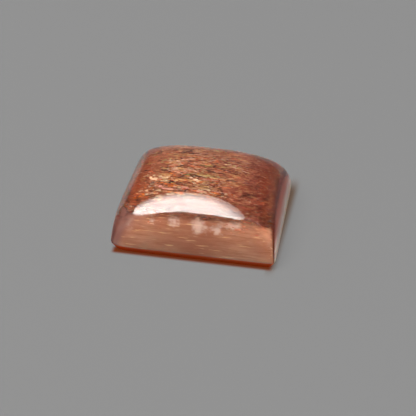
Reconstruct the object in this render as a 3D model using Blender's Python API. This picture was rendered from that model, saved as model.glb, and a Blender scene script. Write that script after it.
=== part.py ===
"""A cushion-shaped sunstone cabochon: one polished piece of feldspar, flat underneath and domed on top.

Lengths are in metres. The stone rests on z = 0 with its middle over the origin. X runs along its front,
which faces -Y, and every level of the stone is a rounded oblong: nearly a rectangle at the girdle, its
widest level, and rounder towards the top of the dome.
"""

import math

import bmesh
import bpy

MM = 0.001

# Overall size, the width being taken half way back
WIDTH = 12.7 * MM
DEPTH = 11.8 * MM
HEIGHT = 4.7 * MM

# The base is cut back under the girdle by a small flat bevel
GIRDLE_HEIGHT = 0.6 * MM
BASE_INSET = 0.3 * MM

# The sides close in towards the back, and the front and back walls lean in as they rise
BACK_NARROWING = 0.04
WALL_LEAN = 0.16

# Squareness of the four corners at the girdle, and of the level just under the top, which is an ellipse
FRONT_LEFT_CORNER = 13
FRONT_RIGHT_CORNER = 32
BACK_RIGHT_CORNER = 12
BACK_LEFT_CORNER = 20
TOP_LEVEL = 2
CORNER_REACH = 4

# Fullness of the dome near its top, and of the wall where it turns into the dome
DOME_FULLNESS = 2.7
WALL_FULLNESS = 3.3

# Fineness of the solid
STEPS_PER_CORNER = 27
LEVELS = 34
CORNER_CROWDING = 1.8
GIRDLE_CROWDING = 1.35

STONE_COLOUR = (0.42, 0.17, 0.10, 1.0)
STONE_ROUGHNESS = 0.05
STONE_CLEARNESS = 0.6
STONE_IOR = 1.54


def clear_scene():
    for item in list(bpy.data.objects):
        bpy.data.objects.remove(item, do_unlink=True)


def bearings():
    """Angles round the stone, crowded together at the corners, where the outline turns."""
    angles = []
    for corner in range(4):
        middle = math.radians(45 + 90 * corner)
        for step in range(STEPS_PER_CORNER):
            share = 2 * step / STEPS_PER_CORNER - 1
            turn = math.copysign(abs(share) ** CORNER_CROWDING, share)
            angles.append(middle + math.radians(45) * turn)
    return angles


def girdle_squareness(angle):
    """The superellipse exponent at the girdle, which passes smoothly from one corner to the next."""
    across, along = math.cos(angle), math.sin(angle)
    corners = (
        (FRONT_LEFT_CORNER, -1, -1),
        (FRONT_RIGHT_CORNER, 1, -1),
        (BACK_RIGHT_CORNER, 1, 1),
        (BACK_LEFT_CORNER, -1, 1),
    )
    total = 0.0
    weighted = 0.0
    for squareness, side, end in corners:
        weight = ((1 + side * across) * (1 + end * along)) ** CORNER_REACH
        total += weight
        weighted += weight * math.log(squareness)
    return math.exp(weighted / total)


def level_point(angle, spread, rise):
    """A point of one level: spread is 1 at the girdle and 0 at the top, and rise the reverse."""
    squareness = girdle_squareness(angle) ** (1 - rise) * TOP_LEVEL ** rise
    across, along = math.cos(angle), math.sin(angle)
    reach = (abs(across) ** squareness + abs(along) ** squareness) ** (-1 / squareness)
    y = along * reach * spread * (1 - WALL_LEAN * rise)
    x = across * reach * spread * (1 - BACK_NARROWING * y)
    return x * WIDTH / 2, y * DEPTH / 2


def dome_level(share):
    """Spread and rise of the level that is this share of the way from the girdle to the top."""
    turn = math.pi / 2 * share ** GIRDLE_CROWDING
    return math.cos(turn) ** (2 / DOME_FULLNESS), math.sin(turn) ** (2 / WALL_FULLNESS)


def base_point(x, y):
    """The point of the base under a point of the girdle, moved in by the bevel."""
    return x * (1 - 2 * BASE_INSET / WIDTH), y * (1 - 2 * BASE_INSET / DEPTH)


def stone_levels():
    """Every level of the stone from the base up, as a height and the points round it."""
    angles = bearings()
    girdle = [level_point(angle, 1.0, 0.0) for angle in angles]
    levels = [(0.0, [base_point(x, y) for x, y in girdle])]
    dome_height = HEIGHT - GIRDLE_HEIGHT
    for step in range(LEVELS):
        spread, rise = dome_level(step / LEVELS)
        points = [level_point(angle, spread, rise) for angle in angles]
        levels.append((GIRDLE_HEIGHT + rise * dome_height, points))
    return levels


def girdle_middle(levels):
    """The middle of the girdle's box, which goes over the origin."""
    xs = [x for x, y in levels[1][1]]
    ys = [y for x, y in levels[1][1]]
    return (min(xs) + max(xs)) / 2, (min(ys) + max(ys)) / 2


def make_stone():
    levels = stone_levels()
    middle_x, middle_y = girdle_middle(levels)
    form = bmesh.new()
    rings = []
    for height, points in levels:
        rings.append([form.verts.new((x - middle_x, y - middle_y, height)) for x, y in points])
    count = len(rings[0])
    for lower, upper in zip(rings, rings[1:]):
        for step in range(count):
            after = (step + 1) % count
            form.faces.new((lower[step], lower[after], upper[after], upper[step]))
    top = form.verts.new((-middle_x, -middle_y, HEIGHT))
    for step in range(count):
        form.faces.new((rings[-1][step], rings[-1][(step + 1) % count], top))
    form.faces.new(list(reversed(rings[0])))
    mesh = bpy.data.meshes.new("sunstone")
    form.to_mesh(mesh)
    form.free()
    mesh.shade_smooth()
    mesh.set_sharp_from_angle(angle=math.radians(30))
    return mesh


def stone_material():
    material = bpy.data.materials.new("sunstone")
    material.use_nodes = True
    shader = material.node_tree.nodes["Principled BSDF"]
    shader.inputs["Base Color"].default_value = STONE_COLOUR
    shader.inputs["Metallic"].default_value = 0.0
    shader.inputs["Roughness"].default_value = STONE_ROUGHNESS
    shader.inputs["IOR"].default_value = STONE_IOR
    shader.inputs["Transmission Weight"].default_value = STONE_CLEARNESS
    return material


def main():
    clear_scene()
    mesh = make_stone()
    mesh.materials.append(stone_material())
    stone = bpy.data.objects.new("sunstone", mesh)
    bpy.context.scene.collection.objects.link(stone)


main()
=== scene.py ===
"""The look of a sunstone cabochon: a clear, milky peach body with bright platelets floating in it.

Lengths are in metres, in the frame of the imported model: the stone rests on z = 0 with its middle over the
origin, X runs along its front, and the front faces -Y.
"""
import math
import random
from collections import namedtuple

import bmesh
import bpy
from mathutils import Matrix, Vector


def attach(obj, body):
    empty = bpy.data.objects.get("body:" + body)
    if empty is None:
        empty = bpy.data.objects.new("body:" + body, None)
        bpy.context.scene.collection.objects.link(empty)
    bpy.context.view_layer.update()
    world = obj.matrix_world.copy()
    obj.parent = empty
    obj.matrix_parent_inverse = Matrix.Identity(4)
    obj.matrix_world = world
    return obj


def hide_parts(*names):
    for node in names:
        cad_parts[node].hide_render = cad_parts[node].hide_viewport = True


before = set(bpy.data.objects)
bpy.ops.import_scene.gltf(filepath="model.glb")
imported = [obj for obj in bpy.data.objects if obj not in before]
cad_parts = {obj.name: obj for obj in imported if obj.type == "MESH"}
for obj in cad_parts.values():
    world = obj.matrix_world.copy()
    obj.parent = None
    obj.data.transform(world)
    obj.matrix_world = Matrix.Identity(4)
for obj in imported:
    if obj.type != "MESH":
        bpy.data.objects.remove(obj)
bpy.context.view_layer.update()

MM = 0.001

# The stone's form, with the same values as the solid it stands for
WIDTH = 12.7 * MM
DEPTH = 11.8 * MM
HEIGHT = 4.7 * MM
GIRDLE_HEIGHT = 0.6 * MM
BASE_INSET = 0.3 * MM
BACK_NARROWING = 0.04
WALL_LEAN = 0.16
FRONT_LEFT_CORNER = 13
FRONT_RIGHT_CORNER = 32
BACK_RIGHT_CORNER = 12
BACK_LEFT_CORNER = 20
TOP_LEVEL = 2
CORNER_REACH = 4
DOME_FULLNESS = 2.7
WALL_FULLNESS = 3.3
CORNER_CROWDING = 1.8
GIRDLE_CROWDING = 1.35

# Fineness of the polished surface
STEPS_PER_CORNER = 75
LEVELS = 110
EDGE_ROUNDING = 0.04 * MM

# Optics of the stone
STONE_IOR = 1.54
ABSORBED_COLOUR = (0.85, 0.44, 0.06, 1.0)
ABSORPTION = 320.0
SCATTER_RADIUS = (1.0, 0.45, 0.28)
SCATTER_SCALE = 2.0 * MM
CLEAREST_ROUGHNESS = 0.03
CLOUDIEST_ROUGHNESS = 0.14
CLOUDIEST_CLEARNESS = 0.2

# Colours of the stone, and of the painted glints, reflections, rim light, highlight and shade on it
CLEAR_TINT = (0.94, 0.86, 0.81, 1.0)
PALE_PEACH = (0.57, 0.29, 0.18, 1.0)
WARM_PEACH = (0.37, 0.150, 0.083, 1.0)
DEEP_PEACH = (0.33, 0.115, 0.062, 1.0)
GOLDEN_GLINT = (0.80, 0.48, 0.24, 1.0)
PAINTED_REFLECTION_COLOUR = (0.80, 0.62, 0.52, 1.0)
MAUVE_SHADE = (0.23, 0.108, 0.086, 1.0)
DARK_MAUVE_SHADE = (0.12, 0.030, 0.022, 1.0)
BROWN_MAUVE = (0.34, 0.18, 0.12, 1.0)
BEVEL_COLOUR = (0.52, 0.078, 0.001, 1.0)
RIGHT_RIM_LIGHT_CREAM = (0.84, 0.68, 0.58, 1.0)
BACK_HIGHLIGHT_COLOUR = (0.88, 0.64, 0.46, 1.0)
SHOULDER_COLOUR = (0.62, 0.28, 0.16, 1.0)
RUST = (0.34, 0.070, 0.036, 1.0)

# The cloud in the walls, which climbs towards the front and back and sinks towards the sides
CLOUDY_BELOW = 0.2 * MM
CLEAR_ABOVE = 2.6 * MM
CLOUD_LIFT = 2.2 * MM
CLOUD_INNER_EDGE = 2.8 * MM
CLOUD_OUTER_EDGE = 5.4 * MM
CLOUD_RAGGED = 0.25 * MM
CLOUD_DROP = 0.4 * MM
CLOUD_INNER_SIDE = 4.2 * MM
CLOUD_OUTER_SIDE = 6.4 * MM

# Heights between which a zone of the surface begins or ends
GIRDLE_LINE = (GIRDLE_HEIGHT - 0.05 * MM, GIRDLE_HEIGHT + 0.02 * MM)
RIM_LIGHT_HEIGHTS = (1.2 * MM, 2.6 * MM)
SHOULDER_HEIGHTS = (1.8 * MM, 2.9 * MM)
LEFT_CLOUD_HEIGHTS = (1.8 * MM, 3.8 * MM)
LEFT_EDGE_HEIGHTS = (1.4 * MM, 3.2 * MM)
BACK_HIGHLIGHT_HEIGHTS = (2.8 * MM, 3.8 * MM)

# Along X, where the painted back highlight fades, where the walls are darkest and how far that darkening
# reaches
BACK_HIGHLIGHT_FADE = (2.6 * MM, 4.6 * MM)
DEEPEST_AT = -0.7 * MM
DEEPER_REACH = (0.8 * MM, 4.4 * MM)

# How far the surface faces left, right, back or up, from where a zone starts to change to where it is done
LEFT_WALL = (0.88, 0.97)
LEFT_STREAKS = (0.80, 0.95)
LEFT_THINNER = (0.15, 0.65)
LEFT_MAUVE_SHADE = (0.02, 0.35)
LEFT_DARK_MAUVE_SHADE = (0.45, 0.75)
LEFT_EDGE = (0.50, 0.85)
RIGHT_WALL = (0.78, 0.97)
RIGHT_THINNER = (0.50, 0.90)
RIGHT_TURN = (0.15, 0.45)
RIGHT_SHOULDER = (0.30, 0.78)
RIGHT_RUST = (0.62, 0.82)
BACK_HIGHLIGHT_TOP = (0.42, 0.54)
BACK_HIGHLIGHT_BOTTOM = (0.58, 0.66)
BASE = (-0.95, -0.70)

# Waves per metre of the noise that streaks the walls along X and along Y, and of its finer painted glints
STREAKS_ALONG_X = (450, 3500, 5000)
STREAKS_ALONG_Y = (3500, 450, 5000)
GLINTS = (600, 7000, 7000)

# Frosty spots with painted pale reflections, where the front wall turns into the dome: the middle's x, y and
# height, and the reach, in mm
FROSTED_REFLECTION_SPOTS = (
    (-5.6, -4.3, 2.7, 0.8),
    (-5.1, -4.9, 2.4, 0.7),
    (-3.2, -4.8, 3.0, 0.45),
    (-1.5, -4.9, 3.0, 0.55),
    (0.5, -5.0, 2.9, 0.9),
    (1.9, -5.0, 2.8, 0.65),
    (3.1, -4.7, 3.1, 0.75),
)
REFLECTION_SPOT_WOBBLE = 0.25 * MM
FROST_CLOUD = 0.62

# The photograph's frame and viewing angle
FRAME_PIXELS = 416
PIXELS_PER_MM = 12.729
CENTRE_PIXEL_X = 205.15
CENTRE_PIXEL_Y = 189.67
CENTRE_HEIGHT = 2.64 * MM
VIEW_AZIMUTH = math.radians(11)
VIEW_ELEVATION = math.radians(36)
VIEW_DISTANCE = 192.3 * MM
SENSOR_WIDTH = 36.0

# The softbox, as multiples of its height over the floor
SOFTBOX_HEIGHT = 0.300
SOFTBOX_PLACE = (-0.384, -0.117, 1.0)
SOFTBOX_REACH = (0.526, 0.470)
SOFTBOX_TURN = math.radians(22.8)
SOFTBOX_COLOUR = (1.0, 0.97, 0.94, 1.0)
SOFTBOX_GLOW = 18.0

# The rest of the studio
WORLD_GREY = 0.14
FLOOR_COLOUR = (0.0300, 0.0302, 0.0303, 1.0)
# Painted floor colours: an orange-tinted shadow along the stone's front, shade beside its right and warm
# light under it
WARM_SHADOW_FLOOR_COLOUR = (0.0196, 0.0042, 0.0013, 1.0)
SHADED_FLOOR_COLOUR = (0.0175, 0.0115, 0.0078, 1.0)
GLOWING_FLOOR_COLOUR = (0.070, 0.026, 0.011, 1.0)
GLOW_REACH = (-1.0 * MM, -0.3 * MM)
WARM_SHADOW_START = (-0.6 * MM, -0.3 * MM)
WARM_SHADOW_REACH = (0.10 * MM, 0.50 * MM)
WARM_SHADOW_SIDES = (WIDTH / 2 - 0.3 * MM, WIDTH / 2 + 0.1 * MM)
SHADE_START = (-0.6 * MM, -0.4 * MM)
SHADE_REACH = (-0.20 * MM, 0.45 * MM)
SHADE_ENDS = (4.5 * MM, 7.0 * MM)
FLOOR_FILL = 24.0
FLOOR_FILL_SPREAD = math.radians(60)
FLOOR_FILL_FROM = (0.0, 0.0, 1.0)
SIDE_FILL = 1.6
SIDE_FILL_SPREAD = math.radians(20)
SIDE_FILL_FROM = (1.0, 0.35, 0.2)
FLOOR_GAP = 0.02 * MM
FLOOR_RADIUS = 3.0


def bearings():
    """Angles round the stone, crowded together at the corners, where the outline turns."""
    angles = []
    for corner in range(4):
        middle = math.radians(45 + 90 * corner)
        for step in range(STEPS_PER_CORNER):
            share = 2 * step / STEPS_PER_CORNER - 1
            turn = math.copysign(abs(share) ** CORNER_CROWDING, share)
            angles.append(middle + math.radians(45) * turn)
    return angles


def girdle_squareness(angle):
    """The superellipse exponent at the girdle, which passes smoothly from one corner to the next."""
    across, along = math.cos(angle), math.sin(angle)
    corners = (
        (FRONT_LEFT_CORNER, -1, -1),
        (FRONT_RIGHT_CORNER, 1, -1),
        (BACK_RIGHT_CORNER, 1, 1),
        (BACK_LEFT_CORNER, -1, 1),
    )
    total = 0.0
    weighted = 0.0
    for squareness, side, end in corners:
        weight = ((1 + side * across) * (1 + end * along)) ** CORNER_REACH
        total += weight
        weighted += weight * math.log(squareness)
    return math.exp(weighted / total)


def level_point(angle, spread, rise):
    """A point of one level: spread is 1 at the girdle and 0 at the top, and rise the reverse."""
    squareness = girdle_squareness(angle) ** (1 - rise) * TOP_LEVEL ** rise
    across, along = math.cos(angle), math.sin(angle)
    reach = (abs(across) ** squareness + abs(along) ** squareness) ** (-1 / squareness)
    y = along * reach * spread * (1 - WALL_LEAN * rise)
    x = across * reach * spread * (1 - BACK_NARROWING * y)
    return x * WIDTH / 2, y * DEPTH / 2


def dome_level(share):
    """Spread and rise of the level that is this share of the way from the girdle to the top."""
    turn = math.pi / 2 * share ** GIRDLE_CROWDING
    return math.cos(turn) ** (2 / DOME_FULLNESS), math.sin(turn) ** (2 / WALL_FULLNESS)


def base_point(x, y):
    """The point of the base under a point of the girdle, moved in by the bevel."""
    return x * (1 - 2 * BASE_INSET / WIDTH), y * (1 - 2 * BASE_INSET / DEPTH)


def stone_levels():
    """Every level of the stone from the base up, as a height and the points round it."""
    angles = bearings()
    girdle = [level_point(angle, 1.0, 0.0) for angle in angles]
    levels = [(0.0, [base_point(x, y) for x, y in girdle])]
    for step in range(LEVELS):
        spread, rise = dome_level(step / LEVELS)
        points = [level_point(angle, spread, rise) for angle in angles]
        levels.append((GIRDLE_HEIGHT + rise * (HEIGHT - GIRDLE_HEIGHT), points))
    return levels


def girdle_middle(levels):
    """The middle of the girdle's box, which goes over the origin."""
    xs = [x for x, y in levels[1][1]]
    ys = [y for x, y in levels[1][1]]
    return (min(xs) + max(xs)) / 2, (min(ys) + max(ys)) / 2


levels = stone_levels()
MIDDLE_X, MIDDLE_Y = girdle_middle(levels)


def finished_mesh(form, name):
    mesh = bpy.data.meshes.new(name)
    form.to_mesh(mesh)
    form.free()
    return mesh


def add_object(name, mesh, material):
    thing = bpy.data.objects.new(name, mesh)
    bpy.context.scene.collection.objects.link(thing)
    mesh.materials.append(material)
    return thing


# Node materials

class Nodes:
    """A material's node tree, with short calls that add a node and link it."""

    def __init__(self, name):
        self.material = bpy.data.materials.new(name)
        self.material.use_nodes = True
        self.tree = self.material.node_tree
        self.shader = self.tree.nodes["Principled BSDF"]
        self.output = self.tree.nodes["Material Output"]
        place = self.add("ShaderNodeTexCoord")
        self.place = place.outputs["Object"]
        self.normal = place.outputs["Normal"]

    def add(self, kind, **settings):
        node = self.tree.nodes.new(kind)
        for name, value in settings.items():
            setattr(node, name, value)
        return node

    def feed(self, socket, value):
        """Links value to socket if it is an output, and otherwise sets it there."""
        if isinstance(value, bpy.types.NodeSocket):
            self.tree.links.new(value, socket)
        else:
            socket.default_value = value

    def stretched(self, scale):
        """The object's own coordinates, times a scale along each axis."""
        node = self.add("ShaderNodeMapping")
        self.feed(node.inputs["Vector"], self.place)
        node.inputs["Scale"].default_value = scale
        return node.outputs["Vector"]

    def noise(self, scale, detail=2.0, roughness=0.5):
        """Noise that runs through the stone, with a scale in waves per metre along each axis."""
        node = self.add("ShaderNodeTexNoise")
        self.feed(node.inputs["Vector"], self.stretched(scale))
        node.inputs["Scale"].default_value = 1.0
        node.inputs["Detail"].default_value = detail
        node.inputs["Roughness"].default_value = roughness
        return node.outputs["Fac"]

    def ramp(self, value, low, high, start=0.0, end=1.0):
        """Start where value is low, end where it is high, and smooth between."""
        node = self.add("ShaderNodeMapRange", interpolation_type="SMOOTHSTEP")
        self.feed(node.inputs["Value"], value)
        node.inputs["From Min"].default_value = low
        node.inputs["From Max"].default_value = high
        node.inputs["To Min"].default_value = start
        node.inputs["To Max"].default_value = end
        return node.outputs["Result"]

    def math(self, operation, first, second=0.0):
        node = self.add("ShaderNodeMath", operation=operation)
        self.feed(node.inputs[0], first)
        self.feed(node.inputs[1], second)
        return node.outputs["Value"]

    def product(self, first, *others):
        """All the values multiplied together."""
        for other in others:
            first = self.math("MULTIPLY", first, other)
        return first

    def largest(self, first, *others):
        for other in others:
            first = self.math("MAXIMUM", first, other)
        return first

    def mix(self, share, first, second):
        """The first colour where share is 0 and the second where it is 1."""
        node = self.add("ShaderNodeMix", data_type="RGBA")
        self.feed(node.inputs["Factor"], share)
        self.feed(node.inputs["A"], first)
        self.feed(node.inputs["B"], second)
        return node.outputs["Result"]

    def blend(self, share, first, second):
        """The first value where share is 0 and the second where it is 1."""
        node = self.add("ShaderNodeMix", data_type="FLOAT")
        self.feed(node.inputs["Factor"], share)
        self.feed(node.inputs["A"], first)
        self.feed(node.inputs["B"], second)
        return node.outputs["Result"]

    def distance(self, point):
        """How far the surface lies from a point given in the object's own coordinates."""
        node = self.add("ShaderNodeVectorMath", operation="DISTANCE")
        self.feed(node.inputs[0], self.place)
        node.inputs[1].default_value = point
        return node.outputs["Value"]

    def along(self, vector, name):
        """One of the vector's three parts, by the name of its axis."""
        node = self.add("ShaderNodeSeparateXYZ")
        self.feed(node.inputs["Vector"], vector)
        return node.outputs[name]

    def axis(self, name):
        """The surface's place along one of the object's axes."""
        return self.along(self.place, name)

    def facing(self, name):
        """How far the surface faces along one of the object's axes."""
        return self.along(self.normal, name)


class StoneNodes(Nodes):
    """The stone's node tree, with the values that several of its zones share."""

    def __init__(self):
        super().__init__("sunstone")
        self.height = self.axis("Z")
        self.rightwards = self.facing("X")
        self.leftwards = self.math("MULTIPLY", self.rightwards, -1.0)
        self.above_girdle = self.ramp(self.height, *GIRDLE_LINE)
        self.not_base = self.ramp(self.facing("Z"), *BASE)
        self.high = self.ramp(self.height, *SHOULDER_HEIGHTS)
        self.left_wall = self.ramp(self.leftwards, *LEFT_WALL)
        self.right_wall = self.ramp(self.rightwards, *RIGHT_WALL)
        self.left_edge = self.product(
            self.ramp(self.leftwards, *LEFT_EDGE), self.ramp(self.height, *LEFT_EDGE_HEIGHTS)
        )
        self.sideways_streaks = self.noise(STREAKS_ALONG_Y, detail=4.0, roughness=0.65)


def frost_and_reflection_share(stone):
    """1 in the middle of the frosty spots of painted reflection and 0 beyond their ragged edges."""
    uneven = stone.noise((1500, 1500, 2200), detail=3.0)
    wobble = stone.ramp(uneven, 0.3, 0.7, -REFLECTION_SPOT_WOBBLE, REFLECTION_SPOT_WOBBLE)
    share = 0.0
    for x, y, height, reach in FROSTED_REFLECTION_SPOTS:
        away = stone.math("ADD", stone.distance((x * MM, y * MM, height * MM)), wobble)
        share = stone.largest(share, stone.ramp(away, 0.1 * reach * MM, reach * MM, 1.0, 0.0))
    return share


def cloud_share(stone, frost_and_reflection):
    """1 where the surface is cloudy, low down on the front, back and left walls, and 0 where it is clear."""
    lift = stone.ramp(
        stone.math("ABSOLUTE", stone.axis("Y")), CLOUD_INNER_EDGE, CLOUD_OUTER_EDGE, 0.0, CLOUD_LIFT
    )
    drop = stone.ramp(
        stone.math("ABSOLUTE", stone.axis("X")), CLOUD_INNER_SIDE, CLOUD_OUTER_SIDE, 0.0, CLOUD_DROP
    )
    ragged = stone.ramp(stone.noise((700, 3000, 3000), detail=3.0), 0.3, 0.7, -CLOUD_RAGGED, CLOUD_RAGGED)
    level = stone.math("ADD", stone.math("ADD", stone.height, ragged), drop)
    level = stone.math("SUBTRACT", level, lift)
    main_cloud = stone.product(
        stone.ramp(level, CLOUDY_BELOW, CLEAR_ABOVE, 1.0, 0.0),
        stone.not_base,
        stone.ramp(stone.leftwards, *LEFT_THINNER, 1.0, 0.7),
        stone.ramp(stone.rightwards, *RIGHT_THINNER, 1.0, 0.2),
    )
    waves = stone.ramp(stone.noise((300, 500, 900)), 0.3, 0.7, -CLOUD_RAGGED, CLOUD_RAGGED)
    low_down = stone.ramp(stone.math("ADD", stone.height, waves), *LEFT_CLOUD_HEIGHTS, 1.0, 0.0)
    left_cloud = stone.product(stone.left_wall, low_down, stone.not_base)
    return stone.largest(main_cloud, left_cloud, stone.product(frost_and_reflection, FROST_CLOUD))


def painted_back_highlight_share(stone):
    """A broken, streaky band of painted highlight where the back wall turns into the dome, weaker towards
    the right.
    """
    backwards = stone.facing("Y")
    streaks = stone.noise((450, 3000, 5000), detail=4.0, roughness=0.65)
    return stone.product(
        stone.ramp(backwards, *BACK_HIGHLIGHT_TOP),
        stone.ramp(backwards, *BACK_HIGHLIGHT_BOTTOM, 1.0, 0.0),
        stone.ramp(streaks, 0.40, 0.64, 0.12, 0.75),
        stone.ramp(stone.height, *BACK_HIGHLIGHT_HEIGHTS),
        stone.ramp(stone.axis("X"), *BACK_HIGHLIGHT_FADE, 1.0, 0.3),
    )


def wall_colour(stone, frost_and_reflection):
    """Streaky peach, darker in the middle of the walls, with painted glints, frosted spots of painted
    reflection and painted mauve shade at the left corner.
    """
    on_left = stone.ramp(stone.leftwards, *LEFT_STREAKS)
    streaks = stone.noise(STREAKS_ALONG_X, detail=5.0, roughness=0.7)
    streaks = stone.blend(on_left, streaks, stone.sideways_streaks)
    colour = stone.mix(stone.ramp(streaks, 0.34, 0.66, 0.12, 0.80), WARM_PEACH, PALE_PEACH)
    aside = stone.math("ABSOLUTE", stone.math("SUBTRACT", stone.axis("X"), DEEPEST_AT))
    middle = stone.ramp(aside, *DEEPER_REACH, 0.6, 0.0)
    clouds = stone.noise((220, 300, 300), detail=1.0)
    deep = stone.math("ADD", middle, stone.ramp(clouds, 0.38, 0.62, -0.1, 0.25))
    colour = stone.mix(deep, colour, DEEP_PEACH)
    # Painted golden glints of platelets behind the wall
    glints = stone.ramp(stone.noise(GLINTS, detail=3.0), 0.59, 0.69, 0.0, 0.55)
    colour = stone.mix(stone.product(glints, stone.math("SUBTRACT", 1.0, on_left)), colour, GOLDEN_GLINT)
    # Painted pale reflections in the frosty spots
    colour = stone.mix(stone.product(frost_and_reflection, 0.6), colour, PAINTED_REFLECTION_COLOUR)
    # Painted mauve shade at the front-left corner, darkest where it turns towards the left wall
    before_wall = stone.math("SUBTRACT", 1.0, stone.left_wall)
    colour = stone.mix(stone.product(stone.ramp(stone.leftwards, *LEFT_MAUVE_SHADE), before_wall), colour, MAUVE_SHADE)
    darkest = stone.product(stone.ramp(stone.leftwards, *LEFT_DARK_MAUVE_SHADE), before_wall)
    return stone.mix(darkest, colour, DARK_MAUVE_SHADE)


def surface_colour(stone, cloudy, frost_and_reflection, painted_back_highlight):
    """Clear above and peach where it is cloudy, with other tones at the right and left edge, painted rim
    light low on the right wall and a painted highlight along the back.
    """
    peach = stone.mix(stone.above_girdle, BEVEL_COLOUR, wall_colour(stone, frost_and_reflection))
    colour = stone.mix(stone.ramp(cloudy, 0.0, 0.35), CLEAR_TINT, peach)
    turning = stone.product(stone.ramp(stone.rightwards, *RIGHT_TURN), stone.high)
    colour = stone.mix(turning, colour, SHOULDER_COLOUR)
    colour = stone.mix(stone.ramp(stone.rightwards, *RIGHT_RUST), colour, RUST)
    # Painted pale rim light low down the right wall
    painted_rim_light = stone.mix(stone.ramp(stone.sideways_streaks, 0.35, 0.65, 0.0, 0.6), RIGHT_RIM_LIGHT_CREAM, PALE_PEACH)
    low = stone.ramp(stone.height, *RIM_LIGHT_HEIGHTS, 1.0, 0.0)
    colour = stone.mix(stone.product(stone.right_wall, low), colour, painted_rim_light)
    colour = stone.mix(stone.left_edge, colour, BROWN_MAUVE)
    # Painted cream highlight along the back rim
    colour = stone.mix(stone.ramp(painted_back_highlight, 0.0, 0.2), colour, BACK_HIGHLIGHT_COLOUR)
    return stone.mix(stone.above_girdle, stone.mix(stone.not_base, CLEAR_TINT, BEVEL_COLOUR), colour)


def clearness(stone, cloudy, painted_back_highlight):
    """The share of light that passes into the stone: none in the bevel, and nearly all of it in the dome."""
    shoulder = stone.product(stone.ramp(stone.rightwards, *RIGHT_SHOULDER), stone.high)
    milky = stone.math("ADD", stone.product(shoulder, 0.12), stone.product(stone.right_wall, 0.68))
    milky = stone.largest(milky, stone.product(stone.left_edge, 0.25), painted_back_highlight)
    clear = stone.math("SUBTRACT", stone.ramp(cloudy, 0.0, 1.0, 1.0, CLOUDIEST_CLEARNESS), milky)
    bevel = stone.product(stone.math("SUBTRACT", 1.0, stone.above_girdle), stone.not_base)
    return stone.largest(stone.product(clear, stone.math("SUBTRACT", 1.0, bevel)), 0.0)


def stone_material():
    """Clear feldspar that shows what floats in it, clouded with warm peach down its walls."""
    stone = StoneNodes()
    frost_and_reflection = frost_and_reflection_share(stone)
    cloudy = cloud_share(stone, frost_and_reflection)
    painted_back_highlight = painted_back_highlight_share(stone)
    shader = stone.shader
    stone.feed(shader.inputs["Base Color"], surface_colour(stone, cloudy, frost_and_reflection, painted_back_highlight))
    stone.feed(shader.inputs["Transmission Weight"], clearness(stone, cloudy, painted_back_highlight))
    roughness = stone.ramp(cloudy, 0.0, 1.0, CLEAREST_ROUGHNESS, CLOUDIEST_ROUGHNESS)
    stone.feed(shader.inputs["Roughness"], roughness)
    shader.inputs["IOR"].default_value = STONE_IOR
    shader.inputs["Subsurface Weight"].default_value = 1.0
    shader.inputs["Subsurface Radius"].default_value = SCATTER_RADIUS
    shader.inputs["Subsurface Scale"].default_value = SCATTER_SCALE
    absorption = stone.add("ShaderNodeVolumeAbsorption")
    absorption.inputs["Color"].default_value = ABSORBED_COLOUR
    absorption.inputs["Density"].default_value = ABSORPTION
    stone.tree.links.new(absorption.outputs["Volume"], stone.output.inputs["Volume"])
    return stone.material


def part_way(start, end, length):
    """The points that lie this far along the straight lines from start's points to end's."""
    start_height, start_points = start
    end_height, end_points = end
    points = []
    for (x0, y0), (x1, y1) in zip(start_points, end_points):
        share = length / math.dist((x0, y0, start_height), (x1, y1, end_height))
        points.append((x0 + (x1 - x0) * share, y0 + (y1 - y0) * share))
    return start_height + (end_height - start_height) * share, points


def softened_levels():
    """The levels with each of the two lower edges replaced by a narrow strip."""
    base, girdle, above = levels[:3]
    middle = (0.0, [(0.0, 0.0) for point in base[1]])
    return [
        part_way(base, middle, 2 * EDGE_ROUNDING),
        part_way(base, middle, EDGE_ROUNDING),
        part_way(base, girdle, EDGE_ROUNDING),
        part_way(girdle, base, EDGE_ROUNDING),
        part_way(girdle, above, EDGE_ROUNDING),
    ] + levels[2:]


def make_stone():
    """The polished body, from the same formula as the solid, with its two lower edges just broken."""
    form = bmesh.new()
    rings = []
    for height, points in softened_levels():
        rings.append([form.verts.new((x - MIDDLE_X, y - MIDDLE_Y, height)) for x, y in points])
    count = len(rings[0])
    for lower, upper in zip(rings, rings[1:]):
        for step in range(count):
            after = (step + 1) % count
            form.faces.new((lower[step], lower[after], upper[after], upper[step]))
    top = form.verts.new((-MIDDLE_X, -MIDDLE_Y, HEIGHT))
    under = form.verts.new((-MIDDLE_X, -MIDDLE_Y, 0))
    for step in range(count):
        after = (step + 1) % count
        form.faces.new((rings[-1][step], rings[-1][after], top))
        form.faces.new((rings[0][after], rings[0][step], under))
    mesh = finished_mesh(form, "sunstone_body")
    mesh.shade_smooth()
    body = add_object("sunstone_body", mesh, stone_material())
    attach(body, "root")
    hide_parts("sunstone")
    return body


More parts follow.
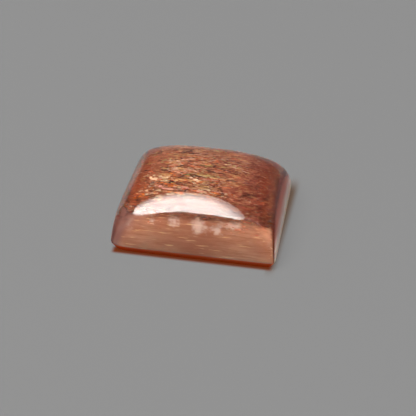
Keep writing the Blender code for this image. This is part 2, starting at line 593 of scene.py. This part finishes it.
# Kinds of platelet, with lengths, depths and places in mm. Span is where a kind lies below the dome, from
# left to right and front to back. Wall_share is the share of its groups that lie in from the walls instead,
# and lowest is the least height of those.
Platelets = namedtuple(
    "Platelets",
    "name count longest mean_length width nearest mean_depth span wall_share lowest bright deep "
    "metallic roughness",
)
EVERYWHERE = (-6.1, 6.1, -5.7, 5.7)
ON_TOP = (-6.1, 6.1, -5.2, 5.7)
BRIGHT_BAND = (-5.2, 2.6, -4.4, -0.8)
PLATELET_KINDS = (
    Platelets("veil_platelets", 5800, 2.6, 0.9, (0.22, 0.6), 0.3, 0.6, EVERYWHERE, 0.45, 0.9,
              (0.48, 0.172, 0.074), (0.25, 0.066, 0.026), 0.0, 0.6),
    Platelets("deep_platelets", 2200, 3.6, 1.4, (0.5, 1.2), 1.0, 0.6, EVERYWHERE, 0.5, 0.9,
              (0.50, 0.160, 0.066), (0.34, 0.088, 0.034), 0.0, 0.6),
    Platelets("shoulder_platelets", 3600, 1.8, 0.6, (0.08, 0.26), 0.10, 0.2, EVERYWHERE, 1.0, 2.6,
              (0.56, 0.210, 0.095), (0.26, 0.066, 0.026), 0.0, 0.6),
    Platelets("copper_platelets", 2700, 1.2, 0.28, (0.03, 0.08), 0.08, 0.3, ON_TOP, 0.0, 2.8,
              (0.62, 0.15, 0.035), (0.38, 0.06, 0.015), 0.25, 0.38),
    Platelets("gold_platelets", 2700, 1.2, 0.28, (0.03, 0.08), 0.08, 0.3, ON_TOP, 0.0, 2.8,
              (0.62, 0.36, 0.135), (0.46, 0.22, 0.07), 0.25, 0.40),
    Platelets("pale_platelets", 1700, 1.2, 0.26, (0.03, 0.08), 0.08, 0.3, ON_TOP, 0.0, 2.8,
              (0.70, 0.46, 0.32), (0.54, 0.23, 0.14), 0.2, 0.42),
    Platelets("green_platelets", 200, 0.8, 0.2, (0.04, 0.09), 0.08, 0.2, ON_TOP, 0.0, 2.8,
              (0.46, 0.46, 0.14), (0.48, 0.38, 0.14), 0.2, 0.42),
    Platelets("dark_platelets", 2200, 0.8, 0.2, (0.03, 0.06), 0.08, 0.2, ON_TOP, 0.3, 2.4,
              (0.06, 0.018, 0.012), (0.03, 0.008, 0.006), 0.0, 0.5),
    Platelets("cream_flakes", 190, 0.9, 0.28, (0.10, 0.26), 0.08, 0.15, BRIGHT_BAND, 0.0, 2.8,
              (0.76, 0.60, 0.40), (0.62, 0.38, 0.20), 0.2, 0.42),
    Platelets("orange_flakes", 90, 0.7, 0.25, (0.10, 0.22), 0.08, 0.15, BRIGHT_BAND, 0.0, 2.8,
              (0.74, 0.24, 0.03), (0.60, 0.10, 0.015), 0.2, 0.42),
    Platelets("rose_flakes", 60, 0.8, 0.3, (0.10, 0.28), 0.08, 0.15, BRIGHT_BAND, 0.0, 2.8,
              (0.72, 0.36, 0.30), (0.58, 0.24, 0.18), 0.2, 0.42),
)
SHORTEST_PLATELET = 0.2

# How the platelets lie, how well they are buried, and how their colour changes from left to right, with
# painted light on the left
LOWEST_PLATELET = 0.9 * MM
HIGHEST_WALL_SPOT = 4.2 * MM
PLATELET_THICKNESS = 0.012 * MM
PLATELET_SKIN = 0.05 * MM
WALL_SPARE = 1.012
REACH_TESTED = 0.78
PLATELET_TILT = math.radians(15)
TILT_SPREAD = math.radians(8)
ROLL_SPREAD = math.radians(5)
SPIN_SPREAD = math.radians(8)
TILT_IN_GROUP = math.radians(2)
LARGEST_GROUP = 14
GROUP_SPREAD = (0.7 * MM, 0.14 * MM, 0.03 * MM)
DARK_RUST = (0.36, 0.060, 0.020, 1.0)
LEFT_PAINTED_LIGHT = 1.15
PAINTED_LIGHT_ACROSS = (-6.0 * MM, -0.5 * MM)
RUSTY_ACROSS = (-0.5 * MM, 5.0 * MM)
SEED = 7


def outline_share(x, y):
    """The share of the way up the dome at which the level's outline passes over the point x, y."""
    x, y = x + MIDDLE_X, y + MIDDLE_Y
    angle = math.atan2(y / DEPTH, x / WIDTH)
    low, high = 0.0, 1.0
    for halving in range(18):
        share = (low + high) / 2
        spread, rise = dome_level(share)
        edge_x, edge_y = level_point(angle, spread, rise)
        if math.hypot(edge_x, edge_y) > math.hypot(x, y):
            low = share
        else:
            high = share
    return low


def surface_height(x, y):
    """The height of the dome over the point x, y, or 0 outside the girdle."""
    share = outline_share(x, y)
    if share <= 0.001:
        return 0.0
    return GIRDLE_HEIGHT + dome_level(share)[1] * (HEIGHT - GIRDLE_HEIGHT)


def platelet_material(kind):
    """Patches of the kind's two colours, paler towards the left of the stone by painted light and rusty
    towards its right.
    """
    nodes = Nodes(kind.name)
    patches = nodes.noise((1200, 7000, 7000), detail=4.0, roughness=0.6)
    colour = nodes.mix(nodes.ramp(patches, 0.4, 0.6), (*kind.deep, 1.0), (*kind.bright, 1.0))
    # Painted light: paler copies of the colours towards the lit left side
    painted_lit = [min(1.0, LEFT_PAINTED_LIGHT * part) for part in kind.bright]
    left = nodes.ramp(nodes.axis("X"), *PAINTED_LIGHT_ACROSS, 1.0, 0.0)
    colour = nodes.mix(nodes.product(left, nodes.ramp(patches, 0.4, 0.6, 0.55, 1.0)), colour, (*painted_lit, 1.0))
    right = nodes.ramp(nodes.axis("X"), *RUSTY_ACROSS)
    colour = nodes.mix(nodes.product(right, nodes.ramp(patches, 0.4, 0.6, 1.0, 0.35)), colour, DARK_RUST)
    nodes.feed(nodes.shader.inputs["Base Color"], colour)
    nodes.shader.inputs["Metallic"].default_value = kind.metallic
    gloss = nodes.ramp(patches, 0.3, 0.7, kind.roughness + 0.06, kind.roughness - 0.06)
    nodes.feed(nodes.shader.inputs["Roughness"], gloss)
    return nodes.material


def add_platelet(form, place, length, width, turn):
    """One thin plate with an uneven outline, closed all round."""
    corners = random.choice((6, 7, 8))
    rim = []
    for corner in range(corners):
        angle = 2 * math.pi * (corner + random.uniform(-0.3, 0.3)) / corners
        reach = random.uniform(0.75, 1.1)
        rim.append((math.cos(angle) * reach * length / 2, math.sin(angle) * reach * width / 2))
    sides = []
    for height in (-PLATELET_THICKNESS / 2, PLATELET_THICKNESS / 2):
        sides.append([form.verts.new(place + turn @ Vector((x, y, height))) for x, y in rim])
    under, over = sides
    form.faces.new(over)
    form.faces.new(list(reversed(under)))
    for corner in range(corners):
        after = (corner + 1) % corners
        form.faces.new((under[corner], under[after], over[after], over[corner]))


def buried(point):
    """Whether the stone covers the point, with a little to spare above it and beside it."""
    further_out = surface_height(WALL_SPARE * point.x, WALL_SPARE * point.y)
    return LOWEST_PLATELET < point.z < further_out - PLATELET_SKIN


def top_spot(kind, depth):
    """A place at that depth straight below the dome."""
    left, right, front, back = kind.span
    x = random.uniform(left, right) * MM
    y = random.uniform(front, back) * MM
    return Vector((x, y, surface_height(x, y) - depth))


def wall_spot(kind, depth):
    """A place at that depth straight in from one of the walls."""
    height = random.uniform(kind.lowest * MM, HIGHEST_WALL_SPOT)
    rise = (height - GIRDLE_HEIGHT) / (HEIGHT - GIRDLE_HEIGHT)
    spread = math.cos(math.asin(rise ** (WALL_FULLNESS / 2))) ** (2 / DOME_FULLNESS)
    x, y = level_point(random.uniform(0, 2 * math.pi), spread, rise)
    inwards = 1 - depth / math.hypot(x, y)
    return Vector((x * inwards - MIDDLE_X, y * inwards - MIDDLE_Y, height))


def platelet_groups(kind):
    """Places and tilts, in short runs of platelets that lie along X in one layer and nearly one plane."""
    while True:
        depth = (kind.nearest + random.expovariate(1 / kind.mean_depth)) * MM
        spot = wall_spot if random.random() < kind.wall_share else top_spot
        middle = spot(kind, depth)
        tilt = PLATELET_TILT + random.gauss(0, TILT_SPREAD)
        roll = random.gauss(0, ROLL_SPREAD)
        for member in range(random.randint(1, LARGEST_GROUP)):
            away = Vector([random.gauss(0, spread) for spread in GROUP_SPREAD])
            yield middle + away, tilt + random.gauss(0, TILT_IN_GROUP), roll


def make_platelets(kind):
    form = bmesh.new()
    made = 0
    groups = platelet_groups(kind)
    while made < kind.count:
        place, tilt, roll = next(groups)
        length = min(kind.longest, SHORTEST_PLATELET + random.expovariate(1 / kind.mean_length)) * MM
        width = random.uniform(*kind.width) * MM
        spin = random.gauss(0, SPIN_SPREAD)
        turn = Matrix.Rotation(tilt, 3, "X") @ Matrix.Rotation(roll, 3, "Y")
        turn = turn @ Matrix.Rotation(spin, 3, "Z")
        along = turn @ Vector((REACH_TESTED * length, 0, 0))
        across = turn @ Vector((0, REACH_TESTED * width, 0))
        if all(buried(place + reach) for reach in (along, -along, across, -across)):
            add_platelet(form, place, length, width, turn)
            made += 1
    piece = add_object(kind.name, finished_mesh(form, kind.name), platelet_material(kind))
    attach(piece, "root")


# The studio

def floor_material():
    """Plain grey, with painted warm light under the stone, a painted orange-tinted shadow along its front
    and painted shade beside its right.
    """
    nodes = Nodes("floor")
    aside = nodes.math("ABSOLUTE", nodes.axis("X"))
    along = nodes.math("ABSOLUTE", nodes.axis("Y"))
    outside = nodes.largest(
        nodes.math("SUBTRACT", aside, WIDTH / 2 - BASE_INSET),
        nodes.math("SUBTRACT", along, DEPTH / 2 - BASE_INSET),
    )
    # Painted warm light on the floor under the stone
    colour = nodes.mix(nodes.ramp(outside, *GLOW_REACH), GLOWING_FLOOR_COLOUR, FLOOR_COLOUR)
    # Painted shade on the floor beside the stone's right
    beside = nodes.math("SUBTRACT", nodes.axis("X"), WIDTH / 2)
    shade = nodes.product(
        nodes.ramp(beside, *SHADE_REACH, 1.0, 0.0),
        nodes.ramp(beside, *SHADE_START),
        nodes.ramp(along, *SHADE_ENDS, 1.0, 0.0),
    )
    colour = nodes.mix(shade, colour, SHADED_FLOOR_COLOUR)
    # Painted orange-tinted shadow on the floor along the stone's front
    forwards = nodes.math("MULTIPLY", nodes.axis("Y"), -1.0)
    before = nodes.math("SUBTRACT", forwards, DEPTH / 2 - BASE_INSET)
    warm_shadow = nodes.product(
        nodes.ramp(before, *WARM_SHADOW_START),
        nodes.ramp(before, *WARM_SHADOW_REACH, 1.0, 0.0),
        nodes.ramp(aside, *WARM_SHADOW_SIDES, 1.0, 0.0),
    )
    nodes.feed(nodes.shader.inputs["Base Color"], nodes.mix(warm_shadow, colour, WARM_SHADOW_FLOOR_COLOUR))
    nodes.shader.inputs["Roughness"].default_value = 1.0
    nodes.shader.inputs["Specular IOR Level"].default_value = 0.0
    return nodes.material


def make_floor():
    """A plain round floor, with a light of its own that softens the stone's shadow."""
    form = bmesh.new()
    bmesh.ops.create_circle(form, cap_ends=True, segments=96, radius=FLOOR_RADIUS)
    bmesh.ops.translate(form, verts=form.verts, vec=(0, 0, -FLOOR_GAP))
    floor = add_object("floor", finished_mesh(form, "floor"), floor_material())
    linked_sun("floor_fill", floor, FLOOR_FILL, FLOOR_FILL_SPREAD, FLOOR_FILL_FROM)


def linked_sun(name, lit, strength, spread, direction):
    """A sun that stands in that direction and lights one object alone, without shadows or highlights."""
    alone = bpy.data.collections.new(name)
    alone.objects.link(lit)
    sun = bpy.data.lights.new(name, "SUN")
    sun.energy = strength
    sun.angle = spread
    thing = bpy.data.objects.new(name, sun)
    bpy.context.scene.collection.objects.link(thing)
    thing.rotation_euler = Vector(direction).to_track_quat("Z", "Y").to_euler()
    thing.light_linking.receiver_collection = alone
    thing.light_linking.blocker_collection = alone
    thing.visible_glossy = False
    thing.visible_transmission = False


def make_softbox():
    """A round softbox overhead that fades at its far side and its right. The camera doesn't see it."""
    nodes = Nodes("softbox")
    far = nodes.ramp(nodes.axis("Y"), -1.0, -0.1, 0.0, SOFTBOX_GLOW)
    right = nodes.ramp(nodes.axis("X"), 0.4, 1.0, 1.0, 0.2)
    folds = nodes.ramp(nodes.noise((2.5, 14, 1), detail=3.0), 0.35, 0.65, 0.8, 1.12)
    glow = nodes.add("ShaderNodeEmission")
    glow.inputs["Color"].default_value = SOFTBOX_COLOUR
    nodes.feed(glow.inputs["Strength"], nodes.product(far, right, folds))
    nodes.tree.links.new(glow.outputs["Emission"], nodes.output.inputs["Surface"])
    form = bmesh.new()
    bmesh.ops.create_circle(form, cap_ends=True, cap_tris=True, segments=64, radius=1.0)
    softbox = add_object("softbox", finished_mesh(form, "softbox"), nodes.material)
    softbox.location = Vector(SOFTBOX_PLACE) * SOFTBOX_HEIGHT
    softbox.scale = (SOFTBOX_REACH[0] * SOFTBOX_HEIGHT, SOFTBOX_REACH[1] * SOFTBOX_HEIGHT, 1)
    softbox.rotation_euler = (math.pi, 0, SOFTBOX_TURN)
    softbox.visible_camera = False


def make_room():
    """A dim, even grey all round."""
    world = bpy.data.worlds.new("studio")
    world.use_nodes = True
    background = world.node_tree.nodes["Background"]
    background.inputs["Color"].default_value = (WORLD_GREY, WORLD_GREY, WORLD_GREY, 1.0)
    bpy.context.scene.world = world


def make_camera():
    """Looks at the stone from where the photograph was taken."""
    flat = math.cos(VIEW_ELEVATION)
    back = Vector(
        (math.sin(VIEW_AZIMUTH) * flat, -math.cos(VIEW_AZIMUTH) * flat, math.sin(VIEW_ELEVATION))
    )
    right = Vector((math.cos(VIEW_AZIMUTH), math.sin(VIEW_AZIMUTH), 0))
    up = back.cross(right)
    metres_per_pixel = MM / PIXELS_PER_MM
    aim = Vector((-MIDDLE_X, -MIDDLE_Y, CENTRE_HEIGHT))
    aim += right * (FRAME_PIXELS / 2 - CENTRE_PIXEL_X) * metres_per_pixel
    aim -= up * (FRAME_PIXELS / 2 - CENTRE_PIXEL_Y) * metres_per_pixel
    lens = bpy.data.cameras.new("camera")
    lens.sensor_width = SENSOR_WIDTH
    lens.lens = SENSOR_WIDTH * VIEW_DISTANCE / (FRAME_PIXELS * metres_per_pixel)
    lens.clip_start = 0.01
    lens.clip_end = 20
    camera = bpy.data.objects.new("camera", lens)
    bpy.context.scene.collection.objects.link(camera)
    camera.location = aim + back * VIEW_DISTANCE
    camera.rotation_euler = (-back).to_track_quat("-Z", "Y").to_euler()
    bpy.context.scene.camera = camera


make_camera()
make_softbox()
make_room()
make_floor()
body = make_stone()
linked_sun("side_fill", body, SIDE_FILL, SIDE_FILL_SPREAD, SIDE_FILL_FROM)
random.seed(SEED)
for kind in PLATELET_KINDS:
    make_platelets(kind)
bpy.context.scene.view_settings.view_transform = "Standard"
